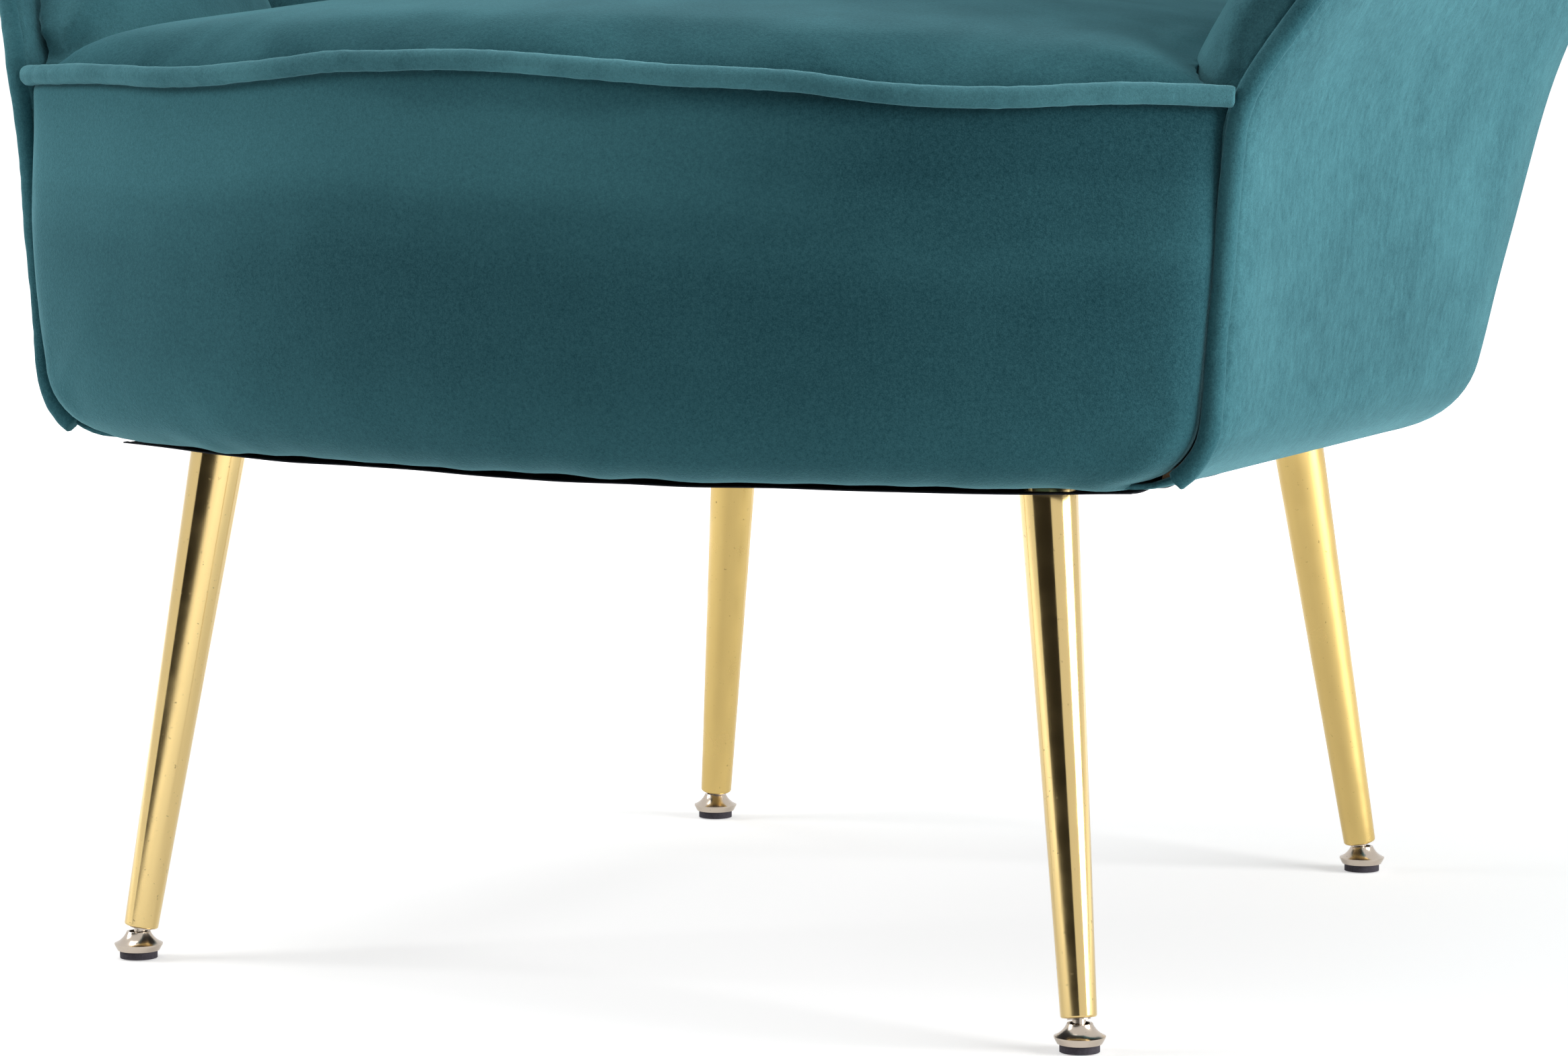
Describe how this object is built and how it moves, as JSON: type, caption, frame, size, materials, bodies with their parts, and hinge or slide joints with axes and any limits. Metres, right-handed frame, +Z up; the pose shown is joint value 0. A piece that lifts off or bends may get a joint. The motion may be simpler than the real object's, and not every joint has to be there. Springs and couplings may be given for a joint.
{
  "type": "cocktail chair",
  "caption": "Upholstered tub-shaped cocktail chair with a bowed apron, piped seams, a channelled inside back, splayed tapered gold metal legs and tilting levelling feet.",
  "frame": {"origin": "on the floor, in the middle of the chair's overall width and depth", "axes": "+Z up, -Y towards the front of the seat, +X to the right of someone who looks at the front"},
  "size_m": [0.7523, 0.7034, 0.8032],
  "materials": {
    "velvet": "teal cut-pile velvet with a soft sheen",
    "gold_metal": "polished gold-coloured plating",
    "nickel": "bright nickel plating",
    "foot_felt": "dark felt-faced rubber",
    "steel": "zinc-plated steel",
    "hardwood": "planed, unfinished",
    "plywood": "moulded plywood, unfinished",
    "webbing": "woven elastic webbing",
    "felt": "needled felt",
    "foam": "open-cell foam",
    "dust_cloth": "black non-woven cloth"
  },
  "bodies": {
    "chair": {"apron_cover": "velvet", "apron_padding": "foam", "back_channel_centre": "velvet", "corner_block_screws": "steel", "corner_blocks": "hardwood", "cross_straps": "webbing", "dust_cover": "dust_cloth", "felt_deck": "felt", "front_left_leg": "gold_metal", "front_rail": "hardwood", "front_right_leg": "gold_metal", "left_arm_pad": "velvet", "left_back_channel_1": "velvet", "left_back_channel_2": "velvet", "left_back_channel_3": "velvet", "left_back_channel_4": "velvet", "left_rail": "hardwood", "leg_end_inserts": "steel", "leg_studs": "steel", "leg_tee_nuts": "steel", "leg_top_plugs": "steel", "long_straps": "webbing", "outer_cover": "velvet", "rear_left_leg": "gold_metal", "rear_rail": "hardwood", "rear_right_leg": "gold_metal", "right_arm_pad": "velvet", "right_back_channel_1": "velvet", "right_back_channel_2": "velvet", "right_back_channel_3": "velvet", "right_back_channel_4": "velvet", "right_rail": "hardwood", "rim_piping": "velvet", "seat_cover": "velvet", "seat_foam": "foam", "seat_piping": "velvet", "shell_screws": "steel", "tub_shell": "plywood"},
    "front_left_stem": {"front_left_foot_stem": "nickel"},
    "front_left_foot": {"front_left_foot_bell": "nickel", "front_left_foot_pad": "foot_felt"},
    "front_right_stem": {"front_right_foot_stem": "nickel"},
    "front_right_foot": {"front_right_foot_bell": "nickel", "front_right_foot_pad": "foot_felt"},
    "rear_left_stem": {"rear_left_foot_stem": "nickel"},
    "rear_left_foot": {"rear_left_foot_bell": "nickel", "rear_left_foot_pad": "foot_felt"},
    "rear_right_stem": {"rear_right_foot_stem": "nickel"},
    "rear_right_foot": {"rear_right_foot_bell": "nickel", "rear_right_foot_pad": "foot_felt"}
  },
  "joints": [
    {"name": "front_left_level", "type": "slide", "parent": "chair", "child": "front_left_stem", "axis": [-0.1236, -0.1236, -0.9846], "range_m": [0, 0.008]},
    {"name": "front_left_tilt", "type": "hinge", "parent": "front_left_stem", "child": "front_left_foot", "pos_m": [-0.2405, -0.27572, 0.0073], "axis": [-0.7071, 0.7071, 0], "range_deg": [-2.8, 23]},
    {"name": "front_right_level", "type": "slide", "parent": "chair", "child": "front_right_stem", "axis": [0.1236, -0.1236, -0.9846], "range_m": [0, 0.008]},
    {"name": "front_right_tilt", "type": "hinge", "parent": "front_right_stem", "child": "front_right_foot", "pos_m": [0.2405, -0.27572, 0.0073], "axis": [-0.7071, -0.7071, 0], "range_deg": [-2.8, 23]},
    {"name": "rear_left_level", "type": "slide", "parent": "chair", "child": "rear_left_stem", "axis": [-0.1236, 0.1236, -0.9846], "range_m": [0, 0.008]},
    {"name": "rear_left_tilt", "type": "hinge", "parent": "rear_left_stem", "child": "rear_left_foot", "pos_m": [-0.1855, 0.20428, 0.0073], "axis": [0.7071, 0.7071, 0], "range_deg": [-2.8, 23]},
    {"name": "rear_right_level", "type": "slide", "parent": "chair", "child": "rear_right_stem", "axis": [0.1236, 0.1236, -0.9846], "range_m": [0, 0.008]},
    {"name": "rear_right_tilt", "type": "hinge", "parent": "rear_right_stem", "child": "rear_right_foot", "pos_m": [0.1855, 0.20428, 0.0073], "axis": [0.7071, -0.7071, 0], "range_deg": [-2.8, 23]}
  ]
}
